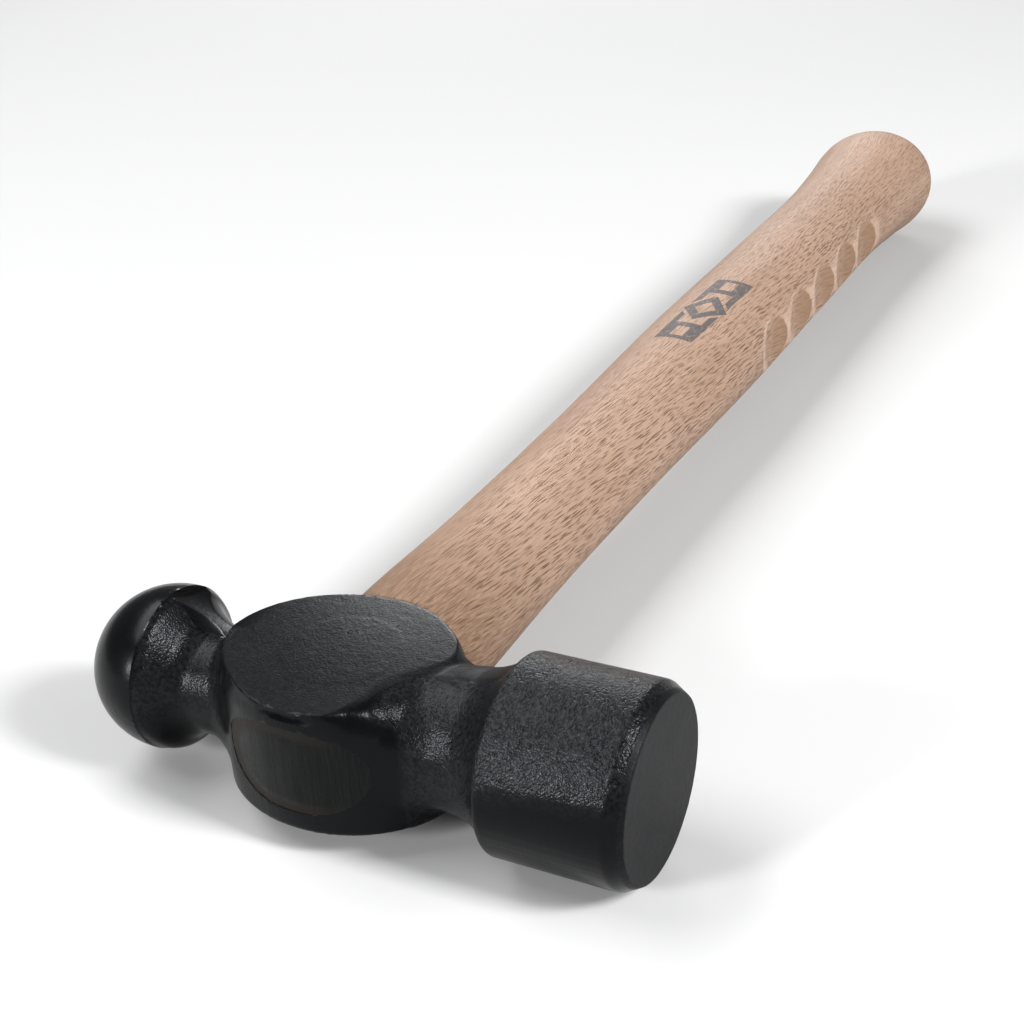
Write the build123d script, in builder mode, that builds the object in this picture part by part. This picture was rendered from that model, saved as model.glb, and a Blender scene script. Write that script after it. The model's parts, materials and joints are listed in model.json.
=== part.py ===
from build123d import *
import math
import os

# Ball peen hammer lying on its side, in millimetres. +X points along the head towards the striking
# face, +Y runs along the handle towards its grip end, and +Z is square to the cheeks. The origin is
# under the middle of the hammer, on the surface that the poll rests on.

# Driving dimensions
head_length = 114.0
overall_length = 377.0
poll_radius = 18.0
eye_to_face = 60.3            # handle axis to striking face
body_length_to_poll = 22.8    # handle axis to the poll end of the oval body
body_length_to_ball = 23.8    # handle axis to the ball end of the oval body
body_front_depth = 19.9       # head axis to the face where the tenon ends
body_back_depth = 19.0        # head axis to the face that the handle's shoulder meets
cheek_half = 12.5             # half the distance between the two flat cheeks

# Poll
face_radius = 15.5            # flat of the striking face, inside its bevel
bevel_length = 2.9
poll_length = 26.0            # striking face to the corner behind the poll
poll_neck_radius = 13.3
poll_neck_x = 28.8            # narrowest place, from the handle axis
poll_neck_fillet = 4.0

# Ball
ball_radius = 15.7
ball_cut_angle = 71.0         # where the ball turns into its neck, from the head axis
ball_neck_radius = 9.7
ball_neck_x = -28.8
ball_neck_fillet = 2.5

# Eye and its wedges
eye_half_length = 13.6
eye_half_width = 8.9
wedge_depth = 27.0
wedge_top_thickness = 3.4
wedge_tip_thickness = 0.8
steel_wedge_width = 11.0
steel_wedge_depth = 19.0
steel_wedge_top = 2.6
steel_wedge_tip = 0.5

# Handle: distance from the head axis, half width along X, half thickness along Z
handle_stations = [
    (8.0, 15.0, 12.4),
    (24.0, 15.0, 12.4),
    (62.0, 14.2, 11.9),
    (112.0, 14.5, 12.2),
    (168.0, 15.9, 13.3),
    (236.0, 16.1, 13.5),
    (300.0, 16.8, 14.0),
    (318.0, 18.1, 15.4),
]
knob_centre = 335.6           # widest place of the knob, from the head axis
knob_half_width = 19.4
knob_half_thickness = 17.0
knob_dome_angles = (25.0, 45.0, 62.0, 76.0)
knob_tip_scale = 0.12

# Finger grooves on the side that faces the same way as the striking face
groove_count = 5
groove_first = 190.0
groove_pitch = 21.2
groove_radius = 14.5
groove_depth = 2.1

# Places worked out from the dimensions above
face_x = head_length / 2
eye_x = face_x - eye_to_face
ball_x = ball_radius - head_length / 2 - eye_x
head_y = body_front_depth - overall_length / 2
axis_z = poll_radius
handle_length = overall_length - body_front_depth
knob_dome_length = handle_length - knob_centre

# The head is drawn about the point where the handle axis crosses the head axis.
crossing = Location((eye_x, head_y, axis_z))
mid_plane = Plane(origin=(eye_x, head_y, axis_z))
profile_plane = Plane(origin=(eye_x, head_y, axis_z), x_dir=(1, 0, 0), z_dir=(0, -1, 0))
side_plane = Plane(origin=(eye_x, head_y, axis_z), x_dir=(0, 1, 0), z_dir=(1, 0, 0))


def across_handle(distance):
    """The plane square to the handle at a distance from the head axis, with X kept as X."""
    return Plane(origin=(eye_x, head_y + distance, axis_z), x_dir=(1, 0, 0), z_dir=(0, 1, 0))


def handle_half_width(distance):
    """Half width of the handle between its stations, by straight interpolation."""
    for near, far in zip(handle_stations, handle_stations[1:]):
        if near[0] <= distance <= far[0]:
            share = (distance - near[0]) / (far[0] - near[0])
            return near[1] + share * (far[1] - near[1])
    return handle_stations[-1][1]


# Oval outline of the head's body, four quarter ellipses, shared by the head, the tenon's end and the shoulder's seat
with BuildSketch(mid_plane) as body_outline:
    with BuildLine():
        EllipticalCenterArc((0, 0), body_length_to_poll, body_back_depth, start_angle=0, arc_size=90)
        EllipticalCenterArc((0, 0), body_length_to_ball, body_back_depth, start_angle=90, arc_size=90)
        EllipticalCenterArc((0, 0), body_length_to_ball, body_front_depth, start_angle=180, arc_size=90)
        EllipticalCenterArc((0, 0), body_length_to_poll, body_front_depth, start_angle=270, arc_size=90)
    make_face()

# Oval section of the eye
with BuildSketch(across_handle(0)) as eye_section:
    Ellipse(eye_half_length, eye_half_width)

# Head: a turned profile for ball, necks and poll, joined to the oval body, with the eye through it.
# Between the necks the turned profile runs inside the body.
ball_cut = math.radians(ball_cut_angle)
ball_cut_point = (ball_x + ball_radius * math.cos(ball_cut), ball_radius * math.sin(ball_cut))
ball_mid_point = (ball_x - ball_radius * math.cos(ball_cut), ball_radius * math.sin(ball_cut))
poll_back_x = eye_to_face - poll_length

with BuildPart() as hammer_head:
    with BuildSketch(profile_plane) as turned_profile:
        with BuildLine():
            ThreePointArc((ball_x - ball_radius, 0), ball_mid_point, ball_cut_point)
            necks = FilletPolyline(
                ball_cut_point,
                (ball_neck_x, ball_neck_radius),
                (poll_neck_x, poll_neck_radius),
                (poll_back_x, poll_radius),
                radius=[ball_neck_fillet, poll_neck_fillet],
            )
            poll = Polyline(
                necks @ 1,
                (eye_to_face - bevel_length, poll_radius),
                (eye_to_face, face_radius),
                (eye_to_face, 0),
            )
            Line(poll @ 1, (ball_x - ball_radius, 0))
        make_face()
    revolve(axis=Axis((eye_x, head_y, axis_z), (1, 0, 0)))
    extrude(body_outline.sketch, amount=cheek_half, both=True)
    extrude(eye_section.sketch, amount=body_front_depth + body_back_depth, both=True, mode=Mode.SUBTRACT)
hammer_head.part.label = "hammer_head"

# Tenon: the part of the handle inside the eye, ground off flush with the crowned front of the head
with BuildPart() as tenon:
    extrude(eye_section.sketch, amount=2 * body_front_depth, both=True)
    extrude(body_outline.sketch, amount=cheek_half, both=True, mode=Mode.INTERSECT)

# Steel wedge: driven across the tenon, square to the wooden wedge
with BuildPart() as steel_wedge:
    with BuildSketch(mid_plane):
        with BuildLine():
            Polyline(
                (-steel_wedge_top / 2, -body_front_depth),
                (steel_wedge_top / 2, -body_front_depth),
                (steel_wedge_tip / 2, steel_wedge_depth - body_front_depth),
                (-steel_wedge_tip / 2, steel_wedge_depth - body_front_depth),
                close=True,
            )
        make_face()
    extrude(amount=steel_wedge_width / 2, both=True)
    add(tenon.part, mode=Mode.INTERSECT)
steel_wedge.part.label = "steel_wedge"

# Wooden wedge: spreads the tenon along the whole eye, split in the middle by the steel wedge
with BuildPart() as wooden_wedge:
    with BuildSketch(side_plane):
        with BuildLine():
            Polyline(
                (-body_front_depth, -wedge_top_thickness / 2),
                (wedge_depth - body_front_depth, -wedge_tip_thickness / 2),
                (wedge_depth - body_front_depth, wedge_tip_thickness / 2),
                (-body_front_depth, wedge_top_thickness / 2),
                close=True,
            )
        make_face()
    extrude(amount=eye_half_length, both=True)
    add(tenon.part, mode=Mode.INTERSECT)
    add(steel_wedge.part, mode=Mode.SUBTRACT)
wooden_wedge.part.label = "wooden_wedge"

# Handle: lofted oval grip with a domed knob, a seat cut to the back of the head, the tenon with
# its kerf opened by the wedges, and finger grooves
with BuildPart() as handle:
    for distance, half_width, half_thickness in handle_stations:
        with BuildSketch(across_handle(distance)):
            Ellipse(half_width, half_thickness)
    with BuildSketch(across_handle(knob_centre)):
        Ellipse(knob_half_width, knob_half_thickness)
    for angle in knob_dome_angles:
        turn = math.radians(angle)
        with BuildSketch(across_handle(knob_centre + knob_dome_length * math.sin(turn))):
            Ellipse(knob_half_width * math.cos(turn), knob_half_thickness * math.cos(turn))
    with BuildSketch(across_handle(handle_length)):
        Ellipse(knob_half_width * knob_tip_scale, knob_half_thickness * knob_tip_scale)
    loft()
    extrude(body_outline.sketch, amount=2 * cheek_half, both=True, mode=Mode.SUBTRACT)
    add(tenon.part)
    add(wooden_wedge.part, mode=Mode.SUBTRACT)
    add(steel_wedge.part, mode=Mode.SUBTRACT)
    for number in range(groove_count):
        distance = groove_first + number * groove_pitch
        reach = handle_half_width(distance) - groove_depth + groove_radius
        with Locations(crossing * Location((reach, distance, 0))):
            Cylinder(groove_radius, 4 * cheek_half, mode=Mode.SUBTRACT)
handle.part.label = "handle"

os.makedirs("parts", exist_ok=True)
for piece in (hammer_head, handle, wooden_wedge, steel_wedge):
    export_step(piece.part, f"parts/{piece.part.label}.step")
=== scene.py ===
import json
import math

import bpy
import numpy as np
from mathutils import Matrix, Vector


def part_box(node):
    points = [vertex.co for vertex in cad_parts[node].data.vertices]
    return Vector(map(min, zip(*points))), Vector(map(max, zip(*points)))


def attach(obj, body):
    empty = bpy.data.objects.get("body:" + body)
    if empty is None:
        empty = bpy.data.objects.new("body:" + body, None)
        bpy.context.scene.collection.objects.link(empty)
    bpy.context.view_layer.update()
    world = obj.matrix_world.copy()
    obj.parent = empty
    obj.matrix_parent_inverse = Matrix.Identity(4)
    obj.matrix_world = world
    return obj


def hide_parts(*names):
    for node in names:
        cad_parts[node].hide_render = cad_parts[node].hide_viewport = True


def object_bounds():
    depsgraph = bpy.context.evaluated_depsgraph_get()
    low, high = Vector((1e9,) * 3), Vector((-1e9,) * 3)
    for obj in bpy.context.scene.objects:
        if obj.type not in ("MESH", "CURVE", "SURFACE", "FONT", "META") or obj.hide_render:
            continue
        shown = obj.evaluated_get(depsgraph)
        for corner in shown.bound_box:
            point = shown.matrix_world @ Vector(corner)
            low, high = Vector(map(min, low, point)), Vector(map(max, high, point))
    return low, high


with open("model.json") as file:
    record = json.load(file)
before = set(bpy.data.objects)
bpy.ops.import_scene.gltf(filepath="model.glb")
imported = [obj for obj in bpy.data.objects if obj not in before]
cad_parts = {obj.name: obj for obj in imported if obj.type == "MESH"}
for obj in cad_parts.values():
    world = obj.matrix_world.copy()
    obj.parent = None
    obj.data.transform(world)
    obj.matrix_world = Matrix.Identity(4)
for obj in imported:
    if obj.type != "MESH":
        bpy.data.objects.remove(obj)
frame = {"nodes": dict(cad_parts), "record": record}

cad_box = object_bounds()

# The head and the handle are drawn as fields: functions that are negative inside the piece and zero on
# its surface, in millimetres about the point where the handle's axis crosses the head's axis. X runs
# along the head to the striking face, Y along the handle to its knob and Z up, square to the cheeks.
MM = 0.001
mounts = {m["name"]: Vector(m["pos_m"]) for m in frame["record"]["mounts"]}
crossing = Vector((mounts["upper_cheek"].x, mounts["upper_cheek"].y, mounts["striking_face"].z))

# Sizes of the CAD model, from the frame's nodes and mounts
head_low, head_high = [(corner - crossing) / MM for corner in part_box("hammer_head")]
handle_low, handle_high = [(corner - crossing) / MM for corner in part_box("handle")]
FACE_X = head_high.x
BALL_END_X = head_low.x
POLL_RADIUS = head_high.z
FRONT_DEPTH = -handle_low.y
CHEEK_HALF = (mounts["upper_cheek"].z - crossing.z) / MM
HANDLE_END_Y = handle_high.y
CAD_LOW, CAD_HIGH = [(np.array(corner) - np.array(crossing)) / MM for corner in cad_box]
SLIVER = 0.001                # the visual surface stays this far inside the CAD box


# ---------------------------------------------------------------- field tools

def smooth_max(a, b, reach):
    overlap = np.maximum(reach - np.abs(a - b), 0) / reach
    return np.maximum(a, b) + overlap**2 * reach / 4


def smooth_min(a, b, reach):
    return -smooth_max(-a, -b, reach)


def round_union(a, b, radius):
    """Union of two fields with a fillet of that radius where they meet squarely."""
    return np.maximum(radius, np.minimum(a, b)) - np.hypot(
        np.maximum(radius - a, 0), np.maximum(radius - b, 0)
    )


def ramp(v, low, high):
    t = np.clip((v - low) / (high - low), 0, 1)
    return t * t * (3 - 2 * t)


def bell(v, centre, half):
    return ramp(1 - np.abs(v - centre) / half, 0, 1)


NOISE_TABLE = 4096            # a power of two
NOISE_PRIMES = (73856093, 19349663, 83492791)
NOISE_SHIFT = 100.37          # keeps the cells' corners off the axes


def noise(x, y, z, size, seed):
    """Smooth noise between -1 and 1 with bumps of about that size."""
    table = np.random.default_rng(seed).uniform(-1, 1, NOISE_TABLE)
    cells, fades = [], []
    for v in (x, y, z):
        v = v / size + NOISE_SHIFT
        cell = np.floor(v).astype(np.int64)
        t = v - cell
        cells.append(cell)
        fades.append(t * t * t * (t * (6 * t - 15) + 10))
    total = 0
    for i in (0, 1):
        for j in (0, 1):
            for k in (0, 1):
                spot = (
                    (cells[0] + i) * NOISE_PRIMES[0]
                    ^ (cells[1] + j) * NOISE_PRIMES[1]
                    ^ (cells[2] + k) * NOISE_PRIMES[2]
                )
                weight = (
                    (fades[0] if i else 1 - fades[0])
                    * (fades[1] if j else 1 - fades[1])
                    * (fades[2] if k else 1 - fades[2])
                )
                total = total + weight * table[spot & (NOISE_TABLE - 1)]
    return total


def oval(x, y, half_x, half_y):
    """Distance outside an ellipse, close to true near its edge."""
    k = np.hypot(x / half_x, y / half_y)
    g = np.hypot(x / half_x**2, y / half_y**2)
    return (k - 1) * np.where(g > 1e-3, k / np.maximum(g, 1e-3), np.minimum(half_x, half_y))


def super_oval(x, y, half_x, half_y, power):
    """Distance outside a squarish ellipse."""
    u, v = np.abs(x / half_x) + 1e-4, np.abs(y / half_y) + 1e-4
    k = (u**power + v**power) ** (1 / power)
    slope = k ** (1 - power) * np.hypot(u ** (power - 1) / half_x, v ** (power - 1) / half_y)
    return (k - 1) * k / np.maximum(slope * k, 1e-3)


def egg(x, y, z, centre, halves, turn):
    """How far out of an ellipsoid a point is: 1 on its surface. turn is about Z in degrees."""
    c, s = math.cos(math.radians(turn)), math.sin(math.radians(turn))
    dx, dy, dz = x - centre[0], y - centre[1], z - centre[2]
    px, py = c * dx + s * dy, -s * dx + c * dy
    return np.sqrt((px / halves[0]) ** 2 + (py / halves[1]) ** 2 + (dz / halves[2]) ** 2)


def gouge(field, x, y, z, centre, halves, turn, soft):
    """Cuts an ellipsoid out of the field."""
    return smooth_max(field, (1 - egg(x, y, z, centre, halves, turn)) * min(halves), soft)


SLAB = 16                     # grid layers worked out at a time
HALVINGS = 4                  # how often each crossing of a grid edge is narrowed down
SLOPE_STEP = 0.08             # in grid steps, for the surface's normal
PULL_TO_MIDDLE = 0.08         # keeps a vertex near its crossings where the surface is almost flat
OVERHANG = 0.1                # in grid steps, how far a vertex may leave its own cell


def surface_of(field, low, high, step):
    """Vertices and quads of a field's zero surface, by dual contouring.

    Each grid cell that the surface crosses gets one vertex, placed where the surface's tangent planes in
    that cell meet, so edges stay sharp.
    """
    low, high = np.array(low, float), np.array(high, float)
    count = np.ceil((high - low) / step).astype(int) + 1
    axes = [low[i] + step * np.arange(count[i]) for i in range(3)]
    values = np.empty(count)
    for i in range(0, count[0], SLAB):
        values[i:i + SLAB] = field(*np.meshgrid(axes[0][i:i + SLAB], axes[1], axes[2], indexing="ij"))
    inside = values < 0
    stride = np.array([(count[1] - 1) * (count[2] - 1), count[2] - 1, 1])
    total = int(np.prod(count - 1))
    points, normals, cells, quads = [], [], [], []
    for axis in range(3):
        near = [slice(None)] * 3
        far = [slice(None)] * 3
        near[axis], far[axis] = slice(None, -1), slice(1, None)
        change = inside[tuple(near)] != inside[tuple(far)]
        at = np.argwhere(change)
        others = [i for i in range(3) if i != axis]
        keep = np.all([(at[:, i] > 0) & (at[:, i] < count[i] - 1) for i in others], axis=0)
        at = at[keep]
        a = values[tuple(at.T)]
        to = at.copy()
        to[:, axis] += 1
        b = values[tuple(to.T)]
        start = low + step * at
        span_low, span_high = np.zeros(len(at)), np.ones(len(at))
        sign = np.where(a < 0, 1.0, -1.0)
        t = a / (a - b)
        for _ in range(HALVINGS):
            p = start.copy()
            p[:, axis] += t * step
            v = field(p[:, 0], p[:, 1], p[:, 2]) * sign
            span_low = np.where(v < 0, t, span_low)
            span_high = np.where(v < 0, span_high, t)
            t = (span_low + span_high) / 2
        p = start.copy()
        p[:, axis] += t * step
        h = step * SLOPE_STEP
        n = np.empty_like(p)
        for i in range(3):
            ahead, behind = p.copy(), p.copy()
            ahead[:, i] += h
            behind[:, i] -= h
            n[:, i] = field(*ahead.T) - field(*behind.T)
        n /= np.maximum(np.linalg.norm(n, axis=1, keepdims=True), 1e-9)
        around = []
        for u, v in ((0, 0), (1, 0), (1, 1), (0, 1)):
            cell = at.copy()
            cell[:, others[0]] -= u
            cell[:, others[1]] -= v
            around.append(cell @ stride)
        around = np.array(around).T
        points.append(np.repeat(p, 4, axis=0))
        normals.append(np.repeat(n, 4, axis=0))
        cells.append(around.reshape(-1))
        flip = (a < 0) != (axis == 1)
        quads.append(np.where(flip[:, None], around[:, ::-1], around))
    points, normals, cells = np.concatenate(points), np.concatenate(normals), np.concatenate(cells)
    used, slot = np.unique(cells, return_inverse=True)
    n_used = len(used)
    share = np.bincount(slot, minlength=n_used)
    middle = np.stack([np.bincount(slot, points[:, i], n_used) for i in range(3)], 1) / share[:, None]
    local = points - middle[slot]
    reach = (local * normals).sum(1)
    matrix = np.empty((n_used, 3, 3))
    vector = np.empty((n_used, 3))
    for i in range(3):
        vector[:, i] = np.bincount(slot, normals[:, i] * reach, n_used)
        for j in range(3):
            matrix[:, i, j] = np.bincount(slot, normals[:, i] * normals[:, j], n_used)
    matrix += np.eye(3) * PULL_TO_MIDDLE
    place = np.linalg.solve(matrix, vector[..., None])[..., 0]
    corner = np.stack(np.unravel_index(used, count - 1), 1) * step + low
    place = np.clip(middle + place, corner - OVERHANG * step, corner + (1 + OVERHANG) * step)
    lookup = np.full(total, -1)
    lookup[used] = np.arange(n_used)
    return place, lookup[np.concatenate(quads)]


def make_piece(name, place, quads, material, masks):
    """A Blender mesh from field coordinates, with one float attribute per mask."""
    mesh = bpy.data.meshes.new(name)
    place = np.clip(place, CAD_LOW + SLIVER, CAD_HIGH - SLIVER)
    world = place * MM + np.array(crossing)
    mesh.vertices.add(len(world))
    mesh.vertices.foreach_set("co", world.astype(np.float32).ravel())
    mesh.loops.add(quads.size)
    mesh.loops.foreach_set("vertex_index", quads.astype(np.int32).ravel())
    mesh.polygons.add(len(quads))
    mesh.polygons.foreach_set("loop_start", np.arange(len(quads), dtype=np.int32) * quads.shape[1])
    mesh.update(calc_edges=True)
    mesh.validate()
    mesh.polygons.foreach_set("use_smooth", np.ones(len(mesh.polygons), bool))
    mesh.set_sharp_from_angle(angle=math.radians(SHARP_DEGREES))
    for key, values in masks.items():
        layer = mesh.attributes.new(key, "FLOAT", "POINT")
        layer.data.foreach_set("value", values.astype(np.float32))
    mesh.materials.append(material)
    piece = bpy.data.objects.new(name, mesh)
    bpy.context.scene.collection.objects.link(piece)
    return piece


# ---------------------------------------------------------------- head

# Oval body between the cheeks: how far it reaches from the crossing to the poll, the ball and the handle
BODY_TO_POLL = 22.8
BODY_TO_BALL = 23.8
BODY_BACK = 19.0
CHEEK_RISE = 0.33             # how far the upper cheek's middle stands above the CAD cheek
CHEEK_CROWN = 0.001           # it falls by this times the square of the distance from its middle

# Eye, slightly squarish. It is wider at the front of the body than at the back.
EYE_POWER = 2.35
EYE_X = -0.75
EYE_HALF_X, EYE_HALF_Z = 14.35, 8.65
EYE_BACK_HALF_X, EYE_BACK_HALF_Z = 13.6, 8.9

# Poll and its neck
POLL_NECK_AT = (0, 10, 15, 19, 24, 28.8, 34)
POLL_NECK_RADII = (8, 10.5, 11.6, 12.2, 12.9, 13.3, 13.3)
POLL_BACK_X = FACE_X - 26.0
POLL_BACK_NORMAL = (-4.7, 4.0)    # X and r of the direction the cone behind the poll faces
BEVEL_X = FACE_X - 2.9
FACE_RADIUS = 16.3
CROWN = 0.03                  # how far the striking face domes

# Ball and its neck
BALL_RADIUS = 15.7
BALL_X = BALL_END_X + BALL_RADIUS
RIDGE_X = BALL_X + 0.7        # where the turned dome stops and the forged back of the ball starts
BALL_BACK_RADIUS = 15.62      # at the ridge
BALL_BACK_TAPER = 0.19
BALL_CONE_RADIUS = 14.9       # where the cone between the ball's back and its neck starts
BALL_CONE_NORMAL = (5.2, 3.9)
BALL_NECK_AT = (-34, -28.8, -26, -22, -17, 0)
BALL_NECK_RADII = (9.9, 9.9, 10.0, 10.2, 10.3, 6)
BALL_NECK_DROP = 1.1          # the forging's neck sits a little below the ball's middle

# Flat trimmed along the flash line, on the upper side of the ball's back and neck
FLASH_AT = (-31.5, 11.7)      # X and Z of its middle
FLASH_FACING = (0.433, 0.901)    # X and Z of the direction it faces
FLASH_TILT = 27               # degrees it leans towards the handle
FLASH_HOLLOW = 30             # its hollow radius
FLASH_END_X = -22             # it ends here towards the body
FLASH_FADE, FLASH_FADE_RUN = 0.012, 9    # it gets shallower by the square over this run to the ridge

# Ellipsoids cut out of the skin: middle, half sizes and turn about Z in degrees
BALL_DENTS = (
    ((-36.6, -6.6, 15.6), (2.1, 1.5, 1.5), 30),
    ((-34.8, -9.4, 13.6), (1.6, 2.4, 1.2), -20),
    ((-34.0, -3.4, 15.4), (4.2, 0.9, 0.9), 8),
)
LAP = ((1.3, -20.3, 11.0), (5.8, 1.7, 0.9), -3)

# Bumps of the forged skin: size, seed and height
FORGED_BUMPS = ((5.0, 11, 0.16), (2.2, 12, 0.07))

# Rim of the upper cheek: angle about Z from +X in degrees, how far the rim lies inside the oval body
# there, and how deep the slope under it is
RIM = np.array((
    (-180, 0.1, 4), (-171, 0.7, 4), (-155, 1.5, 4), (-138, 1.7, 4), (-120, 0.9, 3), (-108, 0.25, 2),
    (-95, 0.1, 1), (-80, 0.1, 1), (-68, 0.5, 1.5), (-57, 2.2, 3.5), (-38, 4.2, 5), (-15, 4.6, 4),
    (0, 4.4, 3), (18, 2.6, 3), (35, 1.4, 2.5), (46, 1.2, 2), (60, 0.5, 1.5), (80, 0.15, 1), (180, 0.1, 4),
))


def body_wall(x, y):
    half_x = np.where(x > 0, BODY_TO_POLL, BODY_TO_BALL)
    half_y = np.where(y < 0, FRONT_DEPTH, BODY_BACK)
    return oval(x, y, half_x, half_y)


def front_turn(y, z):
    """Angle about the head's axis in degrees, 0 at the front, 90 on top."""
    return np.degrees(np.arctan2(z, -y))


def upper_half(z):
    """1 above the head's middle plane and 0 below it, with a soft step between."""
    return ramp(z, -2, 2)


def above_cheek(x, y, z):
    """Height over the nearer cheek. The upper one is very slightly crowned."""
    return np.abs(z) - CHEEK_HALF + upper_half(z) * (CHEEK_CROWN * (x**2 + y**2) - CHEEK_RISE)


def ground_front_limit(z):
    """X where the ground front of the body stops towards the poll."""
    return 12.8 + 5.2 * (1 - ramp(z, 5, 12.5))


def ground_side(y, z, edge):
    """1 on the upper side behind the trimmed flash line, 0 in front of it, with a sharp step between."""
    behind = np.degrees(np.arctan2(y - edge, z))
    return ramp(y, edge - 0.12, edge + 0.12) * (1 - ramp(behind, 45, 85)) * (z > 0)


def cone(x, r, at_x, at_r, normal):
    """Distance outside a cone about the head's axis, from a point on it and the X and r of its normal."""
    return (normal[0] * (x - at_x) + normal[1] * (r - at_r)) / math.hypot(*normal)


def eye_section(x, y, z):
    """Distance outside the eye, at that depth along it."""
    share = ramp(y, -FRONT_DEPTH, 0)
    half_x = EYE_HALF_X + (EYE_BACK_HALF_X - EYE_HALF_X) * share
    half_z = EYE_HALF_Z + (EYE_BACK_HALF_Z - EYE_HALF_Z) * share
    return super_oval(x - EYE_X * (1 - share), z, half_x, half_z, EYE_POWER)


def flash_trim(x, y, z):
    """The hollow flat along the flash line, on the handle's side of the head's axis."""
    tilt = math.radians(FLASH_TILT)
    outwards = FLASH_FACING[0] * (x - FLASH_AT[0]) + FLASH_FACING[1] * (z - FLASH_AT[1])
    lift = outwards * math.cos(tilt) + y * math.sin(tilt)
    sideways = -outwards * math.sin(tilt) + y * math.cos(tilt)
    trim = FLASH_HOLLOW - np.hypot(lift - FLASH_HOLLOW, sideways)
    trim = np.where(lift < FLASH_HOLLOW, trim, -1.0)
    trim = trim - FLASH_FADE * np.maximum(RIDGE_X + FLASH_FADE_RUN - x, 0) ** 2
    return np.minimum(trim, 3 * (y + 0.3))


def head_field(x, y, z):
    r = np.hypot(y, z)
    turn = front_turn(y, z)
    up = np.abs(z)
    forged = sum(noise(x, y, z, size, seed) * height for size, seed, height in FORGED_BUMPS)

    # oval body between its cheeks
    wall = body_wall(x, y)
    round_turn = np.degrees(np.arctan2(y, x))
    upper = upper_half(z)
    inset = 0.03 + np.maximum(np.interp(round_turn, RIM[:, 0], RIM[:, 1]) - 0.1, 0) * upper
    drop = np.interp(round_turn, RIM[:, 0], RIM[:, 2])
    slope = (drop * (wall + inset) + inset * (up - CHEEK_HALF)) / np.hypot(drop, inset)
    poll_side = ramp(x, 4, 12) * upper
    slope = slope + forged * poll_side
    side = smooth_max(wall, slope, 0.05 + (0.2 + poll_side * 0.8) * inset)
    side = side - 0.2 * ramp(x - ground_front_limit(z), -0.3, 0.6) * ramp(-y, 3, 7)
    cheek = above_cheek(x, y, z)
    body = smooth_max(side, cheek, 0.3 + 3.6 * bell(round_turn, -24, 48) * upper + 0.5 * (1 - upper))

    # neck to the poll
    neck = r - np.interp(x, POLL_NECK_AT, POLL_NECK_RADII)
    ledge = ground_side(y, z, -1.0) * bell(x, 28.5, 9.5)
    neck = neck - forged * 0.5 - ledge * 0.3 + 0.2 * (1 - ledge) * bell(turn, 62, 45) * bell(x, 27, 7)
    neck = np.maximum(neck, -x)

    # poll with its back cone, bevel and crowned face
    back = cone(x, r, POLL_BACK_X, POLL_RADIUS, POLL_BACK_NORMAL)
    barrel = r - POLL_RADIUS
    rough_poll = ramp(turn, 12, 26) * (1 - ramp(turn, 150, 170))
    barrel = barrel - rough_poll * (np.minimum(forged * 0.25, 0) - 0.02)
    bevel = cone(x, r, BEVEL_X, POLL_RADIUS, (POLL_RADIUS - FACE_RADIUS, FACE_X - BEVEL_X))
    bevel = bevel - forged * 0.2 * ramp(turn, 0, 30)
    face = x - FACE_X + CROWN * (r / FACE_RADIUS) ** 2
    poll = smooth_max(barrel, back, 0.4)
    poll = smooth_max(poll, bevel, 0.3)
    poll = smooth_max(poll, face, 0.15)
    fore = round_union(np.maximum(neck, x - POLL_BACK_X - 8), poll, 3.2)

    # ball, turned in front and left as forged behind
    ball_neck = np.hypot(y, z + BALL_NECK_DROP) - np.interp(x, BALL_NECK_AT, BALL_NECK_RADII)
    dome = np.sqrt((x - BALL_X) ** 2 + r**2) - BALL_RADIUS
    barrel_back = r - BALL_BACK_RADIUS + BALL_BACK_TAPER * (x - RIDGE_X) - forged * 0.4
    lump = barrel_back + 0.33 * bell(turn, 36, 26) * (1 - ramp(x, RIDGE_X + 1, RIDGE_X + 7))
    cut_at = BALL_X + 2.0 + 2.2 * ramp(-z, 0, 10)
    lump = smooth_max(lump, cone(x, r, cut_at, BALL_CONE_RADIUS, BALL_CONE_NORMAL), 1.0)
    lump = round_union(lump, np.maximum(ball_neck - forged * 0.3, x), 2.2 + 3.2 * ground_side(y, z, 0.0))
    lump = np.where(x < FLASH_END_X, np.maximum(lump, flash_trim(x, y, z)), lump)
    for dent in BALL_DENTS:
        lump = gouge(lump, x, y, z, *dent, 0.25)
    rear = np.maximum(lump, RIDGE_X - 0.05 - x)
    aft = smooth_min(np.maximum(dome, x - RIDGE_X), rear, 0.3)

    flat_share = ramp(up, 6, 12.5)
    solid = round_union(body, fore, 4.5 - 3.9 * flat_share)
    solid = round_union(solid, aft, 2.8 + 1.4 * ramp(-z, 0, 8))
    # forging lap at the front edge of the upper cheek
    solid = gouge(solid, x, y, z, *LAP, 0.2)
    return smooth_max(solid, -eye_section(x, y, z), 0.2)


BALL_TO_BODY = (-23, -19)     # X where the masks pass from the ball's to the body's
BODY_TO_POLL_MASK = (33, 35)
# How much of the pebbled skin shows
FACE_PEBBLE, CHEEK_PEBBLE, BODY_PEBBLE, BALL_PEBBLE, DOME_PEBBLE = 0.25, 0.32, 0.56, 0.42, 0.06
# How matt the paint is there
FACE_DULL, CHEEK_DULL, LEDGE_DULL = 0.5, 0.1, 0.5


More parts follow.
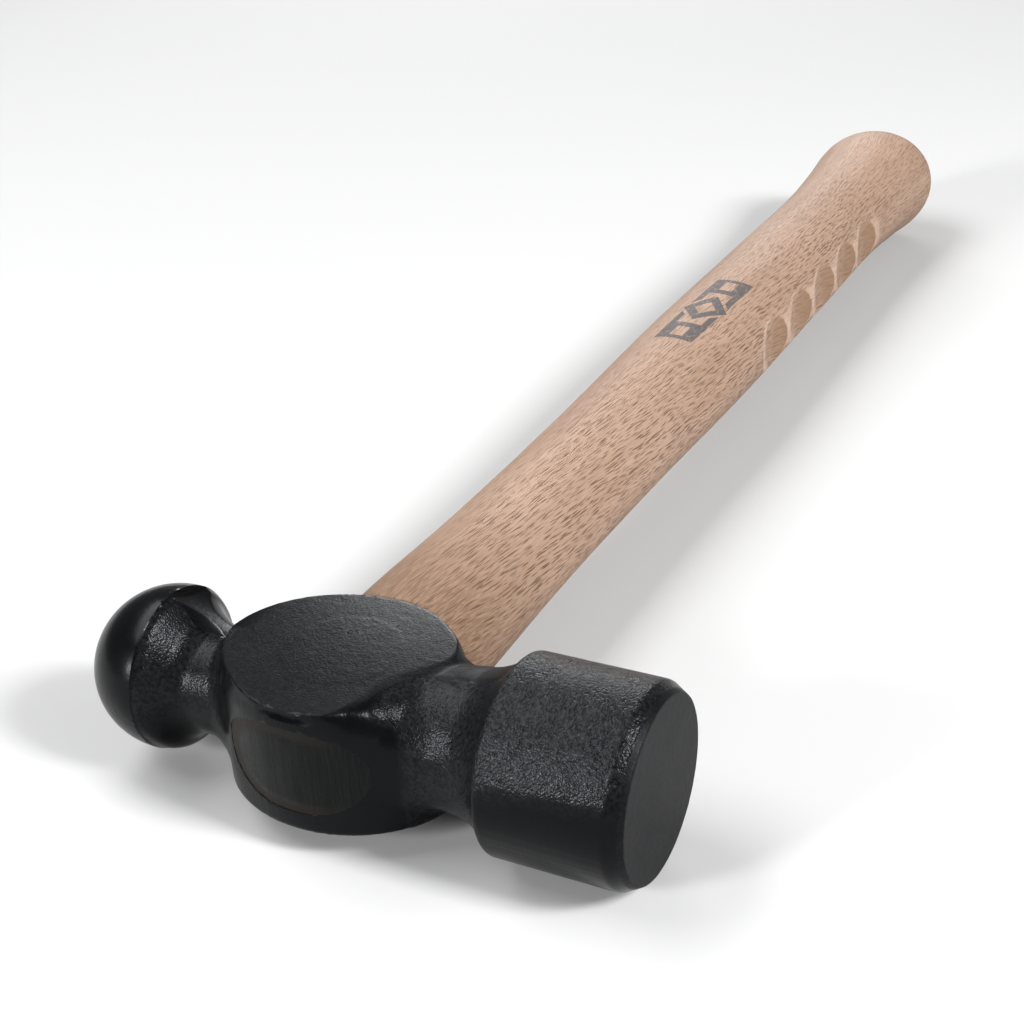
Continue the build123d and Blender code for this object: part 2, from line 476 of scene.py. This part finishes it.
def head_masks(place):
    """Where the paint lies over pebbled skin (rough), over sanding marks that run across the body (streak)
    or round the poll (belt), and where it is matt (dull)."""
    x, y, z = place.T
    r = np.hypot(y, z)
    turn = front_turn(y, z)
    poll_line = 15 + 9 * (x - POLL_BACK_X) / (BEVEL_X - POLL_BACK_X)
    wobble = noise(x, y, z, 4.0, 21) * 3
    poll_rough = ramp(turn + wobble, poll_line - 12, poll_line + 14) * (1 - ramp(turn, 160, 172))
    poll_rough = np.maximum(poll_rough, ramp(turn, -140, -125) * (1 - ramp(turn, -90, -70)))
    on_poll = ramp(x, *BODY_TO_POLL_MASK)
    on_face = ramp(x, FACE_X - 1.4, FACE_X - 0.7) * (r < FACE_RADIUS + 0.6)
    on_bevel = ramp(x, BEVEL_X - 0.3, BEVEL_X + 0.3)
    rough = on_poll * poll_rough * (1 - 0.45 * on_bevel) * (1 - on_face) + on_face * FACE_PEBBLE
    cheek = ramp(above_cheek(x, y, z), -0.5, -0.05) * (np.abs(x) < 24)
    mid = (1 - on_poll) * ramp(x, *BALL_TO_BODY)
    past_front = x + noise(x, y, z, 3.0, 22) * 0.7 - ground_front_limit(z)
    front_smooth = ramp(-y, 2, 8) * (1 - ramp(past_front, -0.5, 1.2))
    back_smooth = ramp(y, 8, 12)
    ledge = ground_side(y, z, -1.0) * ramp(x, 17, 20)
    mid_rough = (1 - cheek) * (1 - front_smooth) * (1 - back_smooth) * (1 - 0.55 * ledge)
    rough = rough + mid * mid_rough * BODY_PEBBLE + mid * cheek * CHEEK_PEBBLE
    aft = 1 - ramp(x, *BALL_TO_BODY)
    forged_ball = ramp(x, RIDGE_X, RIDGE_X + 0.4) * (1 - ground_side(y, z, 0.0) * 0.9)
    rough = rough + aft * (DOME_PEBBLE + forged_ball * BALL_PEBBLE * ramp(turn, -30, 10))
    streak = mid * (1 - cheek) * np.maximum(front_smooth, back_smooth)
    belt = on_poll * (1 - poll_rough) * (1 - on_face)
    dull = np.maximum(1 - ramp(egg(x, y, z, *LAP), 1.05, 1.3), on_face * FACE_DULL)
    dull = np.maximum(dull, mid * np.maximum(LEDGE_DULL * ledge, CHEEK_DULL * cheek))
    return {"rough": np.clip(rough, 0, 1), "streak": streak, "belt": belt, "dull": dull}


# ---------------------------------------------------------------- handle

# Distance from the head's axis, half width along X, half thickness along Z
STATIONS = np.array((
    (0, 15.0, 12.4), (24, 15.0, 12.4), (62, 14.2, 11.9), (112, 14.5, 12.2), (168, 15.9, 13.3),
    (236, 16.1, 13.5), (300, 16.8, 14.0), (318, 18.0, 15.4), (335.6, 19.35, 16.95),
))
KNOB_Y = 335.6                # where the knob's domed end starts
GRIP_TURN = 15.0              # mean radius of the grip, for distances round it
GROOVES = [190.0 + 21.2 * number for number in range(5)]
GROOVE_RADIUS, GROOVE_DEPTH = 14.5, 2.1
GROOVE_RUNOUT = 0.68          # below 1, a groove is longer on its side towards the head
SHOULDER_HALF = 15            # half width of the shoulder
# Y where the shoulder's corners start to turn in towards the head, and their radius, on each side
SHOULDER_BALL = (26.5, 9.0)
SHOULDER_POLL = (22.0, 6.5)
TENON_BITE = 0.3              # the spread tenon presses into the eye's wall
TENON_BACK_Y = 22             # where the tenon ends inside the grip


def through_stations(y, column):
    """Smooth curve through the stations (a cubic with averaged slopes)."""
    at, value = STATIONS[:, 0], STATIONS[:, column]
    slope = np.gradient(value, at)
    slope[0] = slope[1] = slope[-1] = 0
    y = np.clip(y, at[0], at[-1])
    i = np.clip(np.searchsorted(at, y) - 1, 0, len(at) - 2)
    gap = at[i + 1] - at[i]
    t = (y - at[i]) / gap
    return (
        value[i] * (1 + 2 * t) * (1 - t) ** 2
        + slope[i] * gap * t * (1 - t) ** 2
        + value[i + 1] * t * t * (3 - 2 * t)
        + slope[i + 1] * gap * t * t * (t - 1)
    )


def in_groove(x, y, at):
    """Depth inside the cutter of a finger groove, which runs out more gently towards the head."""
    reach = float(through_stations(np.array(at), 1)) - GROOVE_DEPTH + GROOVE_RADIUS
    return GROOVE_RADIUS - np.hypot(x - reach, (y - at) * np.where(y < at, GROOVE_RUNOUT, 1))


def ring_width(x):
    """Width of the ring sanded round the tenon's end, widest towards the ball."""
    return 1.7 + 1.6 * ramp(-x, 6, 13) - 0.9 * ramp(x, 2, 11)


def handle_field(x, y, z):
    # grip, with a half ellipsoid for the knob's end
    half_x, half_z = through_stations(y, 1), through_stations(y, 2)
    dome = HANDLE_END_Y - KNOB_Y
    past = np.maximum(y - KNOB_Y, 0) / dome
    k = np.sqrt((x / half_x) ** 2 + (z / half_z) ** 2 + past**2)
    g = np.sqrt((x / half_x**2) ** 2 + (z / half_z**2) ** 2 + (past / dome) ** 2)
    grip = (k - 1) * np.where(g > 1e-3, k / np.maximum(g, 1e-3), 12.0)
    for at in GROOVES:
        grip = smooth_max(grip, in_groove(x, y, at), 0.15)

    # shoulder that follows the head's body, with its corners rounded in
    wall = body_wall(x, y)
    seat = np.maximum(0.05 - wall, -y)
    at, radius = [np.where(x < 0, ball, poll) for ball, poll in zip(SHOULDER_BALL, SHOULDER_POLL)]
    turn_in = np.clip((at - y) / radius, 0, 1)
    corner = np.abs(x) - SHOULDER_HALF + radius * (1 - np.sqrt(1 - turn_in**2))
    grip = smooth_max(grip, seat, 1.2)
    grip = np.where(y < at, smooth_max(grip, corner, 0.8), grip)

    # tenon, its end a little lower in the ring
    section = eye_section(x, y, z)
    ring = ring_width(x)
    end = wall + 0.04 + 0.1 * ramp(section, -ring - 0.5, -ring + 0.3) * (1 - 0.9 * ramp(x, -4, 8))
    tenon = np.maximum(section - TENON_BITE, np.where(y < 0, end, y - TENON_BACK_Y))
    return smooth_min(grip, tenon, 0.3)


def handle_masks(place):
    """Where the handle is painted black, where that paint is sanded to a brown ring (stain), and where the
    wood of the finger grooves is browner with painted shade (cut_and_painted_shade) or paler with painted
    light (sanded_and_painted_light)."""
    x, y, z = place.T
    section = super_oval(x - EYE_X, z, EYE_HALF_X, EYE_HALF_Z, EYE_POWER)
    ring = ring_width(x)
    painted = 1 - ramp(y, -10, -9)
    stain = painted * ramp(section, -ring - 0.5, -ring + 0.2) * (1 - ramp(x, 2, 12))
    # each groove is browner, with painted shade, on its side towards the knob and paler, with painted light,
    # on the side towards the head
    cut_and_painted_shade, sanded_and_painted_light = np.zeros_like(x), np.zeros_like(x)
    for at in GROOVES:
        inside = ramp(in_groove(x, y, at), -0.25, 0.05) * (x > 0)
        past = y - at - 0.4 * np.maximum(np.abs(z) - 2.5, 0) ** 1.6
        cut_and_painted_shade = np.maximum(cut_and_painted_shade, inside * ramp(past, -5.5, 5.5))
        sanded_and_painted_light = np.maximum(sanded_and_painted_light, inside * (1 - ramp(past, -8, -3)))
    # the side of the grip between the grooves is painted pale too, partly sanded wood and partly painted
    # light
    first, last = GROOVES[0], GROOVES[-1]
    flank = ramp(x / through_stations(y, 1), 0.9, 0.97)
    flank = flank * ramp(y, first - 10, first - 4) * (1 - ramp(y, last + 9, last + 16))
    sanded_and_painted_light = np.maximum(sanded_and_painted_light, 0.8 * flank * (cut_and_painted_shade < 0.02))
    return {"painted": painted, "stain": stain, "cut_and_painted_shade": cut_and_painted_shade, "sanded_and_painted_light": sanded_and_painted_light}


# ---------------------------------------------------------------- materials

# Linear colours. A pair is mixed by a noise.
PAINT_SMOOTH = (0.0012, 0.0013, 0.0015), (0.0026, 0.0027, 0.0030)
# the pebbled pair is lighter on the pebbles' tops: partly the forged skin's greyer paint, partly painted
# sparkle
PAINT_PEBBLED_AND_SPARKLE = (0.0034, 0.0036, 0.0041), (0.0150, 0.0155, 0.0170)
PAINT_GLOSS = 0.19            # roughness of the smoothest paint
TENON_PAINT = (0.0009, 0.0011, 0.0011), (0.0034, 0.0038, 0.0036)
TENON_RING = (0.0072, 0.0056, 0.0042)
WOOD_BANDS = (0.316, 0.216, 0.158), (0.272, 0.177, 0.126)
WOOD_FIBRE = (0.223, 0.139, 0.094)
WOOD_CLOUD = (0.372, 0.264, 0.205)
# darker tones towards the head, darkest right behind it
WOOD_TOWARD_HEAD = (0.200, 0.121, 0.076)
WOOD_BY_HEAD = (0.150, 0.090, 0.056)
WOOD_FLECK = (0.095, 0.054, 0.033)
# finger grooves: browner wood with painted shade towards the knob, paler sanded wood with painted light
# towards the head
WOOD_CUT_AND_SHADE = (0.205, 0.124, 0.076)
WOOD_SANDED_AND_LIT = (0.49, 0.36, 0.28)
WOOD_SMUDGE = (0.15, 0.12, 0.11)
WOOD_GLOSS = 0.50
INK = (0.045, 0.047, 0.052)

GRAIN_LEAN = 0.147            # sideways run of the grain at the head, in millimetres a millimetre
GRAIN_RETURN_Y = 560          # the run grows up to half this distance from the head, then shrinks again
# Layers of flecks: shift in cells, size of a cell round and along the grip and half size of a fleck in mm
FLECKS = ((0.0, 0.95, 5.0, 0.15, 2.2), (37.3, 1.3, 6.4, 0.17, 2.8), (71.9, 0.8, 3.8, 0.12, 1.6))
STAMP_Y, STAMP_X = 175.5, 1.0    # middle of the ink mark


class Nodes:
    """Short way to write a material's node tree."""

    def __init__(self, name):
        self.material = bpy.data.materials.new(name)
        self.material.use_nodes = True
        self.tree = self.material.node_tree
        self.shader = self.tree.nodes["Principled BSDF"]
        self.position = self.add("ShaderNodeTexCoord").outputs["Object"]

    def add(self, kind, **settings):
        node = self.tree.nodes.new(kind)
        for key, value in settings.items():
            setattr(node, key, value)
        return node

    def put(self, socket, value):
        if isinstance(value, bpy.types.NodeSocket):
            self.tree.links.new(value, socket)
        elif value is not None:
            socket.default_value = value

    def math(self, kind, *values):
        node = self.add("ShaderNodeMath", operation=kind)
        for i, value in enumerate(values):
            self.put(node.inputs[i], value)
        return node.outputs[0]

    def attribute(self, name):
        return self.add("ShaderNodeAttribute", attribute_name=name).outputs["Fac"]

    def product(self, first, *others):
        for other in others:
            first = self.math("MULTIPLY", first, other)
        return first

    def millimetres(self, axis):
        """That coordinate of the position, in millimetres from the crossing."""
        split = self.add("ShaderNodeSeparateXYZ")
        self.put(split.inputs[0], self.position)
        return self.math("MULTIPLY", self.math("SUBTRACT", split.outputs[axis], crossing[axis]), 1 / MM)

    def scaled(self, x, y, z, source=None):
        """The position in units of x, y and z millimetres."""
        node = self.add("ShaderNodeMapping")
        self.put(node.inputs["Vector"], source or self.position)
        node.inputs["Scale"].default_value = (1 / (x * MM), 1 / (y * MM), 1 / (z * MM))
        return node.outputs[0]

    def noise(self, vector, detail=2.0, rough=0.5, distort=0.0):
        node = self.add("ShaderNodeTexNoise")
        self.put(node.inputs["Vector"], vector)
        for key, value in (("Scale", 1.0), ("Detail", detail), ("Roughness", rough), ("Distortion", distort)):
            node.inputs[key].default_value = value
        return node.outputs[0]

    def remap(self, value, low, high, to_low=0.0, to_high=1.0):
        node = self.add("ShaderNodeMapRange")
        node.interpolation_type = "SMOOTHSTEP"
        for key, limit in (("From Min", low), ("From Max", high), ("To Min", to_low), ("To Max", to_high)):
            self.put(node.inputs[key], limit)
        self.put(node.inputs["Value"], value)
        return node.outputs[0]

    def mix(self, share, a, b):
        node = self.add("ShaderNodeMix", data_type="RGBA")
        self.put(node.inputs[0], share)
        for i, value in ((6, a), (7, b)):
            self.put(node.inputs[i], (*value, 1) if isinstance(value, tuple) else value)
        return node.outputs[2]

    def bump(self, height, distance, strength=1.0, below=None):
        node = self.add("ShaderNodeBump")
        self.put(node.inputs["Strength"], strength)
        self.put(node.inputs["Distance"], distance * MM)
        self.put(node.inputs["Height"], height)
        if below is not None:
            self.put(node.inputs["Normal"], below)
        return node.outputs[0]


def head_material():
    """Satin black paint over forged and ground steel."""
    n = Nodes("head_paint")
    rough = n.attribute("rough")
    pebble = n.noise(n.scaled(0.72, 0.72, 0.72), 2.0, 0.6, 0.2)
    grain = n.noise(n.scaled(0.36, 0.36, 0.36), 1.0)
    fine = n.noise(n.scaled(0.28, 0.28, 0.28), 1.0)
    patch = n.noise(n.scaled(9, 9, 9), 3.0)
    along_z = n.noise(n.scaled(0.35, 0.35, 12), 2.0)
    round_poll = n.noise(n.scaled(0.4, 7, 7), 2.0)

    height = n.math("ADD", n.product(pebble, rough), n.product(grain, 0.45))
    normal = n.bump(height, 0.2, n.remap(rough, 0.05, 0.7))
    normal = n.bump(fine, 0.025, 0.5, normal)
    normal = n.bump(along_z, 0.035, n.attribute("streak"), normal)
    normal = n.bump(round_poll, 0.03, n.attribute("belt"), normal)
    n.put(n.shader.inputs["Normal"], normal)

    smooth_color = n.mix(patch, *PAINT_SMOOTH)
    # pebble tops painted lighter: partly greyer paint on the forged skin, partly painted sparkle
    pebble_and_sparkle_color = n.mix(n.remap(pebble, 0.32, 0.68), *PAINT_PEBBLED_AND_SPARKLE)
    n.put(n.shader.inputs["Base Color"], n.mix(rough, smooth_color, pebble_and_sparkle_color))

    gloss = n.math("ADD", n.product(rough, 0.05), n.product(patch, 0.08))
    gloss = n.math("ADD", gloss, PAINT_GLOSS)
    n.put(n.shader.inputs["Roughness"], n.math("ADD", gloss, n.product(n.attribute("dull"), 0.45)))
    n.shader.inputs["Specular IOR Level"].default_value = 0.1
    n.shader.inputs["Specular Tint"].default_value = (0.90, 0.94, 1.0, 1)
    return n.material


def fleck_layer(n, around, along, offset, wide, long, half_wide, half_long):
    """Short dark ends of the wood's rays, one to a cell of that size."""
    place = n.add("ShaderNodeCombineXYZ")
    n.put(place.inputs[0], n.math("ADD", n.math("DIVIDE", around, wide), offset))
    n.put(place.inputs[1], n.math("ADD", n.math("DIVIDE", along, long), offset))
    cells = n.add("ShaderNodeTexVoronoi", voronoi_dimensions="2D")
    n.put(cells.inputs["Vector"], place.outputs[0])
    cells.inputs["Scale"].default_value = 1.0
    cells.inputs["Randomness"].default_value = 0.85
    away = n.add("ShaderNodeVectorMath", operation="SUBTRACT")
    n.put(away.inputs[0], place.outputs[0])
    n.put(away.inputs[1], cells.outputs["Position"])
    stretch = n.add("ShaderNodeVectorMath", operation="MULTIPLY")
    n.put(stretch.inputs[0], away.outputs[0])
    stretch.inputs[1].default_value = (wide / half_wide, long / half_long, 0)
    length = n.add("ShaderNodeVectorMath", operation="LENGTH")
    n.put(length.inputs[0], stretch.outputs[0])
    chance = n.add("ShaderNodeSeparateColor")
    n.put(chance.inputs[0], cells.outputs["Color"])
    reach = n.math("ADD", n.product(chance.outputs[0], 0.7), 0.5)
    dark = n.remap(chance.outputs[1], 0.0, 0.8, 0.25, 1.0)
    return n.product(n.remap(n.math("DIVIDE", length.outputs["Value"], reach), 1.2, 0.4), dark)


def wood_nodes(n):
    """Colour, normal and roughness of the beech."""
    side, along, up = [n.millimetres(axis) for axis in range(3)]
    # distance round the grip, so that the grain looks the same on its top and its sides. The grain runs
    # off towards +X near the head and straightens towards the knob.
    lean = n.math("SUBTRACT", GRAIN_LEAN, n.product(along, GRAIN_LEAN / GRAIN_RETURN_Y))
    wavy = n.noise(n.scaled(9, 24, 12), 2.0)
    around = n.product(n.math("ARCTAN2", side, up), GRIP_TURN)
    around = n.math("SUBTRACT", around, n.math("ADD", n.product(along, lean), n.product(wavy, 2.2)))
    join = n.add("ShaderNodeCombineXYZ")
    n.put(join.inputs[0], n.product(around, MM))
    n.put(join.inputs[1], n.product(along, MM))
    grain = join.outputs[0]

    # flecks show best on the side of the grip towards the poll, less on the knob, and not on its end grain
    fleck = None
    for layer in FLECKS:
        dashes = fleck_layer(n, around, along, *layer)
        fleck = dashes if fleck is None else n.math("MAXIMUM", fleck, dashes)
    end_grain = n.remap(along, 345, 353)
    fleck = n.product(
        fleck, n.math("SUBTRACT", 1.0, end_grain),
        n.remap(side, -14, 3, 0.3, 1.0), n.remap(along, 260, 325, 1.0, 0.6),
    )
    fibre = n.noise(n.scaled(0.32, 8, 1, grain), 3.0, 0.65)
    fibre = n.remap(end_grain, 0, 1, fibre, n.noise(n.scaled(0.6, 0.6, 0.6), 3.0, 0.65))
    band = n.remap(n.noise(n.scaled(3.2, 60, 1, grain), 2.0), 0.3, 0.7)
    cloud = n.remap(n.noise(n.scaled(28, 45, 28), 2.0), 0.35, 0.75)

    # the wood is darker towards the head, and darkest right behind it
    toward_head_patches = n.remap(n.noise(n.scaled(9, 16, 9), 3.0), 0.3, 0.7, 0.25, 0.75)
    along_grain_streaks = n.remap(n.noise(n.scaled(0.6, 3.5, 1, grain), 3.0, 0.6), 0.3, 0.65, 0.35, 1.0)
    smudge = n.remap(n.noise(n.scaled(5.5, 7.5, 5.5), 4.0, 0.65), 0.66, 0.76)
    worn = n.remap(n.noise(n.scaled(0.7, 1.8, 2), 2.0), 0.25, 0.5, 0.55, 1.0)
    ink = n.product(stamp_mask(n, side, along, up), worn, n.math("SUBTRACT", 0.93, n.product(fleck, 0.3)))

    color = n.mix(band, *WOOD_BANDS)
    for share, tone in (
        (n.product(n.remap(fibre, 0.38, 0.68), 0.65), WOOD_FIBRE),
        (n.product(cloud, 0.25), WOOD_CLOUD),
        (n.product(n.remap(along, 95, 12), toward_head_patches, 0.6), WOOD_TOWARD_HEAD),
        (n.product(n.remap(along, 58, 18), along_grain_streaks), WOOD_BY_HEAD),
        (n.product(fleck, 0.95), WOOD_FLECK),
        # finger grooves: painted shade with browner wood, then painted light with paler wood
        (n.product(n.attribute("cut_and_painted_shade"), 0.9), WOOD_CUT_AND_SHADE),
        (n.product(n.attribute("sanded_and_painted_light"), 0.6), WOOD_SANDED_AND_LIT),
        (n.product(smudge, n.remap(along, 190, 40), 0.5), WOOD_SMUDGE),
        (ink, INK),
    ):
        color = n.mix(share, color, tone)
    normal = n.bump(n.math("SUBTRACT", n.product(fibre, 0.5), n.product(fleck, 0.8)), 0.12, 0.6)
    return color, normal, n.math("ADD", WOOD_GLOSS, n.product(fibre, 0.15))


def handle_material():
    """Beech, with black overspray on the tenon's end that is sanded thin in a ring where the eye meets it."""
    n = Nodes("beech")
    wood, wood_normal, wood_gloss = wood_nodes(n)
    painted, stain = n.attribute("painted"), n.attribute("stain")
    streaks = n.noise(n.scaled(0.45, 6, 9), 3.0, 0.6)
    paint = n.mix(n.remap(streaks, 0.35, 0.75), *TENON_PAINT)
    paint = n.mix(n.product(stain, 0.85), paint, TENON_RING)
    paint_gloss = n.math("ADD", PAINT_GLOSS, n.product(n.math("ADD", streaks, stain), 0.17))
    normal = n.add("ShaderNodeMix", data_type="VECTOR")
    n.put(normal.inputs[0], painted)
    n.put(normal.inputs[4], wood_normal)
    n.put(normal.inputs[5], n.bump(streaks, 0.07, 0.7))
    n.put(n.shader.inputs["Base Color"], n.mix(painted, wood, paint))
    n.put(n.shader.inputs["Roughness"], n.remap(painted, 0, 1, wood_gloss, paint_gloss))
    n.put(n.shader.inputs["Normal"], normal.outputs[1])
    n.shader.inputs["Specular IOR Level"].default_value = 0.12
    return n.material


def stamp_mask(n, side, along, up):
    """A plain ink mark on the upper side of the grip: two outlined bars with a lozenge between them."""
    u = n.math("SUBTRACT", along, STAMP_Y)
    v = n.math("SUBTRACT", side, STAMP_X)
    v = n.math("ADD", v, n.product(u, -0.03))
    size_u, size_v = n.math("ABSOLUTE", u), n.math("ABSOLUTE", v)

    def within(value, limit):
        return n.remap(value, limit + 0.12, limit - 0.12)

    def block(centre, half_u, half_v):
        du = n.math("ABSOLUTE", n.math("SUBTRACT", size_u, centre))
        return n.product(within(du, half_u), within(size_v, half_v))

    def less(a, b):
        return n.product(a, n.math("SUBTRACT", 1.0, b))

    bars = less(block(16.0, 5.2, 5.0), block(16.4, 2.9, 1.7))
    lozenge = n.math("ADD", size_u, n.product(size_v, 1.45))
    rhomb = less(within(lozenge, 8.6), within(lozenge, 4.2))
    rails = less(n.product(within(size_u, 11.2), within(size_v, 5.0)), within(lozenge, 10.2))
    rails = n.product(rails, n.remap(size_v, 3.2, 3.4))
    mark = n.math("MAXIMUM", n.math("MAXIMUM", bars, rhomb), rails)
    return n.product(mark, n.remap(up, 0, 2))


def wedge_material(name, low, high, gloss, x, y, z, metallic=0.0):
    """Plain wood or steel, streaked along the wedge, with streaks of x, y and z millimetres."""
    n = Nodes(name)
    streaks = n.noise(n.scaled(x, y, z), 3.0, 0.6)
    n.put(n.shader.inputs["Base Color"], n.mix(streaks, low, high))
    n.put(n.shader.inputs["Roughness"], n.math("ADD", gloss, n.product(streaks, 0.15)))
    n.put(n.shader.inputs["Normal"], n.bump(streaks, 0.05, 0.6))
    n.shader.inputs["Metallic"].default_value = metallic
    return n.material


# ---------------------------------------------------------------- pieces

HEAD_STEP, HANDLE_STEP = 0.46, 0.8    # grid steps of the two surfaces
ROOM = 1.5                    # how far the grids reach past the CAD boxes
SHARP_DEGREES = 38            # edges over this angle are shaded sharp
SKIN = 1.2 * MM               # the wedges end this far under the tenon's paint


def make_wedge(node, name, material):
    """The CAD wedge's own shape, with its outer end kept under the front of the body."""
    mesh = bpy.data.meshes.new(name)
    source = frame["nodes"][node].data
    corners = []
    for v in source.vertices:
        share = (v.co.x - crossing.x) / (BODY_TO_POLL * MM)
        front = crossing.y - FRONT_DEPTH * MM * math.sqrt(1 - share**2) + SKIN
        corners.append((v.co.x, max(v.co.y, front), v.co.z))
    mesh.from_pydata(corners, [], [tuple(face.vertices) for face in source.polygons])
    mesh.materials.append(material)
    piece = bpy.data.objects.new(name, mesh)
    bpy.context.scene.collection.objects.link(piece)
    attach(piece, "root")
    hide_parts(node)


driven_wood = wedge_material("wedge_wood", (0.40, 0.26, 0.17), (0.25, 0.15, 0.09), 0.5, 0.6, 9, 0.6)
driven_steel = wedge_material("wedge_steel", (0.30, 0.30, 0.31), (0.18, 0.18, 0.19), 0.3, 0.3, 8, 0.3, 1.0)
make_wedge("wooden_wedge", "wedge_wood_driven", driven_wood)
make_wedge("steel_wedge", "wedge_steel_driven", driven_steel)

place, quads = surface_of(
    head_field, [v - ROOM for v in head_low], [v + ROOM for v in head_high], HEAD_STEP
)
head = make_piece("head_forging", place, quads, head_material(), head_masks(place))
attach(head, "root")
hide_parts("hammer_head")

place, quads = surface_of(
    handle_field, [v - ROOM for v in handle_low], [v + ROOM for v in handle_high], HANDLE_STEP
)
handle = make_piece("handle_beech", place, quads, handle_material(), handle_masks(place))
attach(handle, "root")
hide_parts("handle")

# ---------------------------------------------------------------- floor, light and camera

FLOOR_HALF = 6.0
FLOOR_COLOR = (0.48, 0.48, 0.48, 1)
SKY_COLOR = (0.95, 0.97, 1.0, 1)
SKY_STRENGTH = 0.16

floor_mesh = bpy.data.meshes.new("floor")
floor_corners = [(x * FLOOR_HALF, y * FLOOR_HALF, 0) for x, y in ((-1, -1), (1, -1), (1, 1), (-1, 1))]
floor_mesh.from_pydata(floor_corners, [], [(0, 1, 2, 3)])
floor = bpy.data.objects.new("floor", floor_mesh)
bpy.context.scene.collection.objects.link(floor)
floor_nodes = Nodes("floor_pale")
floor_nodes.shader.inputs["Base Color"].default_value = FLOOR_COLOR
floor_nodes.shader.inputs["Roughness"].default_value = 0.9
floor_nodes.shader.inputs["Specular IOR Level"].default_value = 0.0
floor_mesh.materials.append(floor_nodes.material)

world = bpy.data.worlds.new("studio")
bpy.context.scene.world = world
world.use_nodes = True
sky = world.node_tree.nodes["Background"]
sky.inputs["Color"].default_value = SKY_COLOR
sky.inputs["Strength"].default_value = SKY_STRENGTH

# Softboxes: azimuth (degrees from +Y towards +X), elevation, distance, width, height (m) and power (W)
TARGET = crossing + Vector((0.0, 0.08, 0.0))
SOFTBOXES = {
    "softbox_back": (-22.5, 21, 1.4, 0.6, 0.26, 7.5),
    "softbox_top": (-95, 58, 1.3, 1.3, 0.5, 15.5),
    "softbox_front": (-153, 19, 1.3, 0.22, 0.3, 19.5),
    "softbox_side": (90, 33, 1.2, 1.0, 0.7, 3.5),
    "softbox_right": (98, 38, 1.1, 0.22, 0.25, 17),
}


def direction(azimuth, elevation):
    """Unit vector at that azimuth (degrees from +Y towards +X) and elevation."""
    turn, rise = math.radians(azimuth), math.radians(elevation)
    return Vector((math.sin(turn) * math.cos(rise), math.cos(turn) * math.cos(rise), math.sin(rise)))


def softbox(name, toward, distance, width, height, power):
    """A rectangular light in that direction from the target, facing it."""
    light = bpy.data.lights.new(name, "AREA")
    light.shape = "RECTANGLE"
    light.size, light.size_y = width, height
    light.energy = power
    box = bpy.data.objects.new(name, light)
    box.location = TARGET + toward * distance
    box.rotation_mode = "QUATERNION"
    box.rotation_quaternion = toward.to_track_quat("Z", "Y")
    bpy.context.scene.collection.objects.link(box)


for name, (azimuth, elevation, distance, width, height, power) in SOFTBOXES.items():
    softbox(name, direction(azimuth, elevation), distance, width, height, power)

LENS, SENSOR = 58.008, 36.0
CAMERA_AT = crossing + Vector((0.14430, -0.20257, 0.16768))
# Turns of the camera: about Z from -Y towards +X, above the floor, and about its own axis
AZIMUTH, ELEVATION, ROLL = math.radians(28.287), math.radians(27.711), math.radians(-3.392)
back = Vector((
    math.sin(AZIMUTH) * math.cos(ELEVATION), -math.cos(AZIMUTH) * math.cos(ELEVATION), math.sin(ELEVATION)
))
right = Vector((math.cos(AZIMUTH), math.sin(AZIMUTH), 0))
up = back.cross(right)
camera_data = bpy.data.cameras.new("camera")
camera_data.lens = LENS
camera_data.sensor_width = SENSOR
camera_data.clip_start, camera_data.clip_end = 0.01, 20.0
camera = bpy.data.objects.new("camera", camera_data)
rolled_right = math.cos(ROLL) * right + math.sin(ROLL) * up
rolled_up = -math.sin(ROLL) * right + math.cos(ROLL) * up
camera.matrix_world = Matrix((
    (rolled_right.x, rolled_up.x, back.x, CAMERA_AT.x),
    (rolled_right.y, rolled_up.y, back.y, CAMERA_AT.y),
    (rolled_right.z, rolled_up.z, back.z, CAMERA_AT.z),
    (0, 0, 0, 1),
))
bpy.context.scene.collection.objects.link(camera)
bpy.context.scene.camera = camera
bpy.context.scene.view_settings.view_transform = "Standard"
